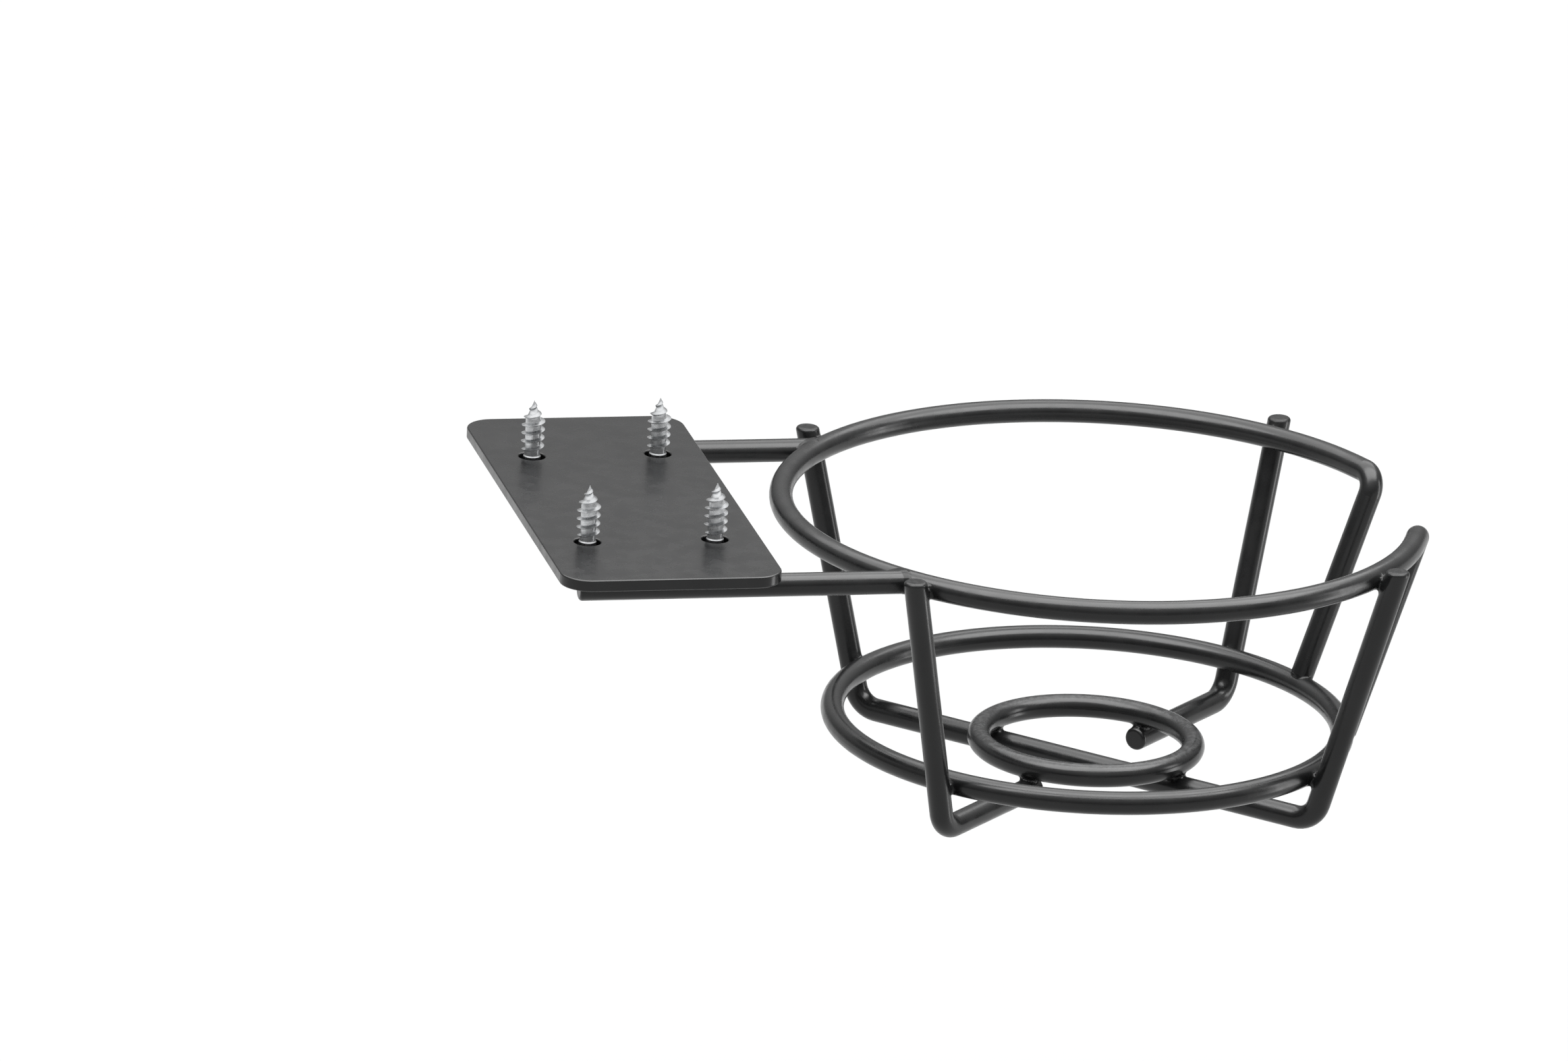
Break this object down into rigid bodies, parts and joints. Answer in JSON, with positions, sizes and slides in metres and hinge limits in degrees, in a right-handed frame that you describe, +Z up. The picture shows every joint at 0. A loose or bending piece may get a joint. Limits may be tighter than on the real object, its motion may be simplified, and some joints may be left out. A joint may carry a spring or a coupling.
{
  "type": "cup holder",
  "caption": "Round wire basket that holds a cup beside a desk, hung on two arms from a screwed steel plate under the desk top.",
  "frame": {"origin": "centre of the mounting plate's top face, which lies against the underside of the desk", "axes": "+X away from the desk, along the arms to the gap for a mug's handle; +Z up, out of the plate's top face"},
  "size_m": [0.1564, 0.113, 0.0618],
  "materials": {
    "coated_wire": "satin black powder coat on round steel wire",
    "coated_plate": "satin black powder coat on flat steel",
    "coated_weld": "satin black powder coat over a small weld bead",
    "zinc_screw": "bright zinc plate"
  },
  "bodies": {
    "root": {"rim_wire": "coated_wire", "base_ring": "coated_wire", "centre_ring": "coated_wire", "cross_wire": "coated_wire", "front_left_leg": "coated_wire", "back_right_leg": "coated_wire", "front_arm": "coated_wire", "back_arm": "coated_wire", "mounting_plate": "coated_plate", "mounting_screws": "zinc_screw", "rim_welds": "coated_weld", "base_ring_welds": "coated_weld", "centre_ring_welds": "coated_weld", "rim_end_welds": "coated_weld", "arm_welds": "coated_weld", "plate_welds": "coated_weld"}
  },
  "joints": []
}
